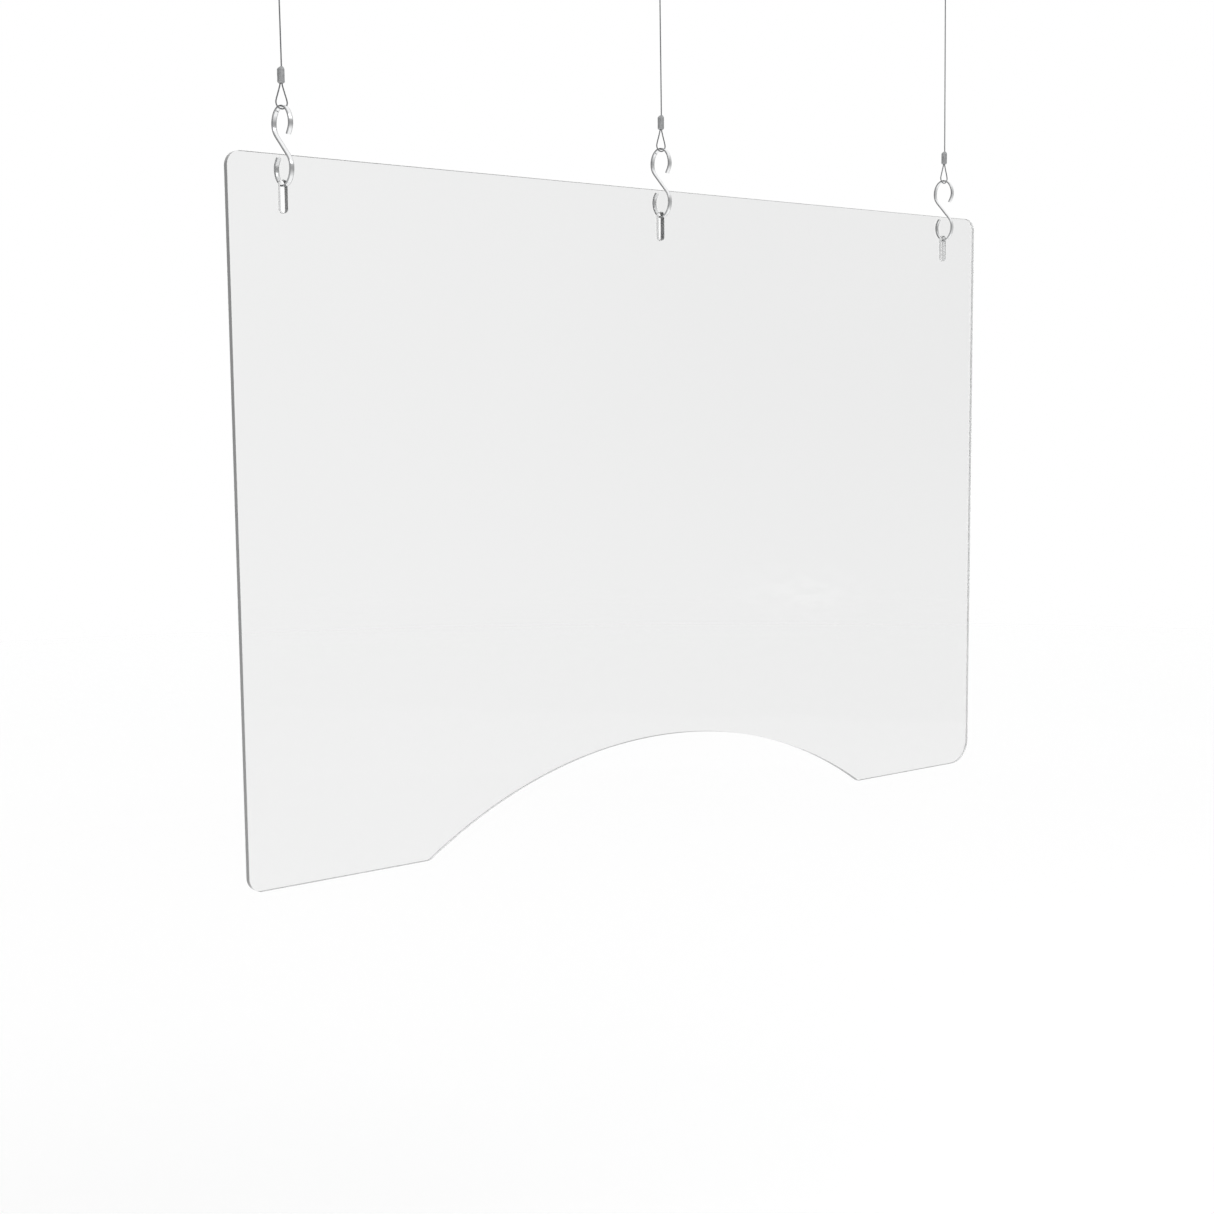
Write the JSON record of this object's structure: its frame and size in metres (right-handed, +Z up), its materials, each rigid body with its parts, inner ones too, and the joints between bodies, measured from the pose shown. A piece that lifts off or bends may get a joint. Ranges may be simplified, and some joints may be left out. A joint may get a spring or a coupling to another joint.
{
  "type": "hanging sneeze guard",
  "caption": "Clear acrylic barrier with an arched pass-through in its bottom edge, hung from the ceiling on S-hooks and wire ropes.",
  "frame": {"origin": "middle of the centre ceiling plate's top face, where it meets the ceiling", "axes": "+Z up; +X along the panel to the right as the customer sees it; the customer's side is -Y"},
  "size_m": [0.9145, 0.046, 0.9323],
  "materials": {
    "clear_acrylic": "clear cast acrylic, polished faces and edges",
    "hook_steel": "bright plated flat steel strip",
    "rope_steel": "galvanised stranded wire rope",
    "ferrule_aluminium": "crimped matte sleeve",
    "zinc_plate": "zinc-plated steel",
    "ring_steel": "zinc-plated steel wire",
    "screw_steel": "zinc-plated steel"
  },
  "bodies": {
    "ceiling_fittings": {"ceiling_plate_left": "zinc_plate", "plate_screw_left_front": "screw_steel", "plate_screw_left_back": "screw_steel", "ceiling_plate_centre": "zinc_plate", "plate_screw_centre_front": "screw_steel", "plate_screw_centre_back": "screw_steel", "ceiling_plate_right": "zinc_plate", "plate_screw_right_front": "screw_steel", "plate_screw_right_back": "screw_steel"},
    "ring_left": {"hanging_ring_left": "ring_steel"},
    "cable_left": {"wire_rope_left": "rope_steel", "upper_ferrule_left": "ferrule_aluminium", "lower_ferrule_left": "ferrule_aluminium"},
    "hook_left": {"s_hook_left": "hook_steel"},
    "ring_centre": {"hanging_ring_centre": "ring_steel"},
    "cable_centre": {"wire_rope_centre": "rope_steel", "upper_ferrule_centre": "ferrule_aluminium", "lower_ferrule_centre": "ferrule_aluminium"},
    "hook_centre": {"s_hook_centre": "hook_steel"},
    "ring_right": {"hanging_ring_right": "ring_steel"},
    "cable_right": {"wire_rope_right": "rope_steel", "upper_ferrule_right": "ferrule_aluminium", "lower_ferrule_right": "ferrule_aluminium"},
    "hook_right": {"s_hook_right": "hook_steel"},
    "panel": {"acrylic_panel": "clear_acrylic"}
  },
  "joints": [
    {"name": "swing_centre", "type": "hinge", "parent": "ceiling_fittings", "child": "ring_centre", "pos_m": [0, 0, -0.004], "axis": [1, 0, 0], "range_deg": [-30, 30]},
    {"name": "sway_centre", "type": "hinge", "parent": "ring_centre", "child": "cable_centre", "pos_m": [0, 0, -0.014], "axis": [0, 1, 0], "range_deg": [-20, 20]},
    {"name": "level_centre", "type": "hinge", "parent": "cable_centre", "child": "hook_centre", "pos_m": [0, 0, -0.25875], "axis": [0, 1, 0], "range_deg": [-20, 20]},
    {"name": "swing_left", "type": "hinge", "parent": "ceiling_fittings", "child": "ring_left", "pos_m": [-0.4064, 0, -0.004], "axis": [1, 0, 0], "range_deg": [-30, 30]},
    {"name": "sway_left", "type": "hinge", "parent": "ring_left", "child": "cable_left", "pos_m": [-0.4064, 0, -0.014], "axis": [0, 1, 0], "range_deg": [-20, 20]},
    {"name": "level_left", "type": "hinge", "parent": "cable_left", "child": "hook_left", "pos_m": [-0.4064, 0, -0.25875], "axis": [0, 1, 0], "range_deg": [-20, 20]},
    {"name": "swing_right", "type": "hinge", "parent": "ceiling_fittings", "child": "ring_right", "pos_m": [0.4064, 0, -0.004], "axis": [1, 0, 0], "range_deg": [-30, 30]},
    {"name": "sway_right", "type": "hinge", "parent": "ring_right", "child": "cable_right", "pos_m": [0.4064, 0, -0.014], "axis": [0, 1, 0], "range_deg": [-20, 20]},
    {"name": "level_right", "type": "hinge", "parent": "cable_right", "child": "hook_right", "pos_m": [0.4064, 0, -0.25875], "axis": [0, 1, 0], "range_deg": [-20, 20]},
    {"name": "panel_tilt", "type": "hinge", "parent": "hook_centre", "child": "panel", "pos_m": [0, 0, -0.3183], "axis": [1, 0, 0], "range_deg": [-4, 10]}
  ],
  "couplings": [
    {"joint": "level_centre", "follows": "sway_centre", "ratio": -1},
    {"joint": "swing_left", "follows": "swing_centre", "ratio": 1},
    {"joint": "sway_left", "follows": "sway_centre", "ratio": 1},
    {"joint": "level_left", "follows": "sway_centre", "ratio": -1},
    {"joint": "swing_right", "follows": "swing_centre", "ratio": 1},
    {"joint": "sway_right", "follows": "sway_centre", "ratio": 1},
    {"joint": "level_right", "follows": "sway_centre", "ratio": -1}
  ]
}
